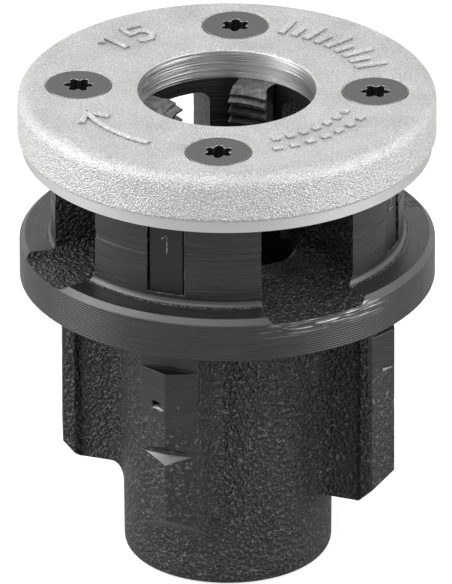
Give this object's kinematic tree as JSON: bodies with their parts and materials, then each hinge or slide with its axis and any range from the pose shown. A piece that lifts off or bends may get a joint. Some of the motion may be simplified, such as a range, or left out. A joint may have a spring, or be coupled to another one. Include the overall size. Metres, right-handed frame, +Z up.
{
  "type": "pipe threading die head",
  "caption": "Quick-change pipe threading head: ribbed cast body with slotted hub, radial thread-cutting dies and a screwed cast cover plate.",
  "frame": {"origin": "centre of the neck's end face, which the head stands on", "axes": "+Z up along the head's axis from the neck to the cover plate; the dies and the ribs lie on the X and Y axes"},
  "size_m": [0.0688, 0.0688, 0.083],
  "materials": {
    "black_casting": "black oxide, cast and turned",
    "cover_casting": "shot-blasted casting",
    "die_steel": "dark hardened and ground",
    "screw_steel": "satin phosphate"
  },
  "bodies": {
    "root": {"body": "black_casting", "cover_plate": "cover_casting", "die_1": "die_steel", "die_2": "die_steel", "die_3": "die_steel", "die_4": "die_steel", "cover_screw_1": "screw_steel", "cover_screw_2": "screw_steel", "cover_screw_3": "screw_steel", "cover_screw_4": "screw_steel"}
  },
  "joints": []
}
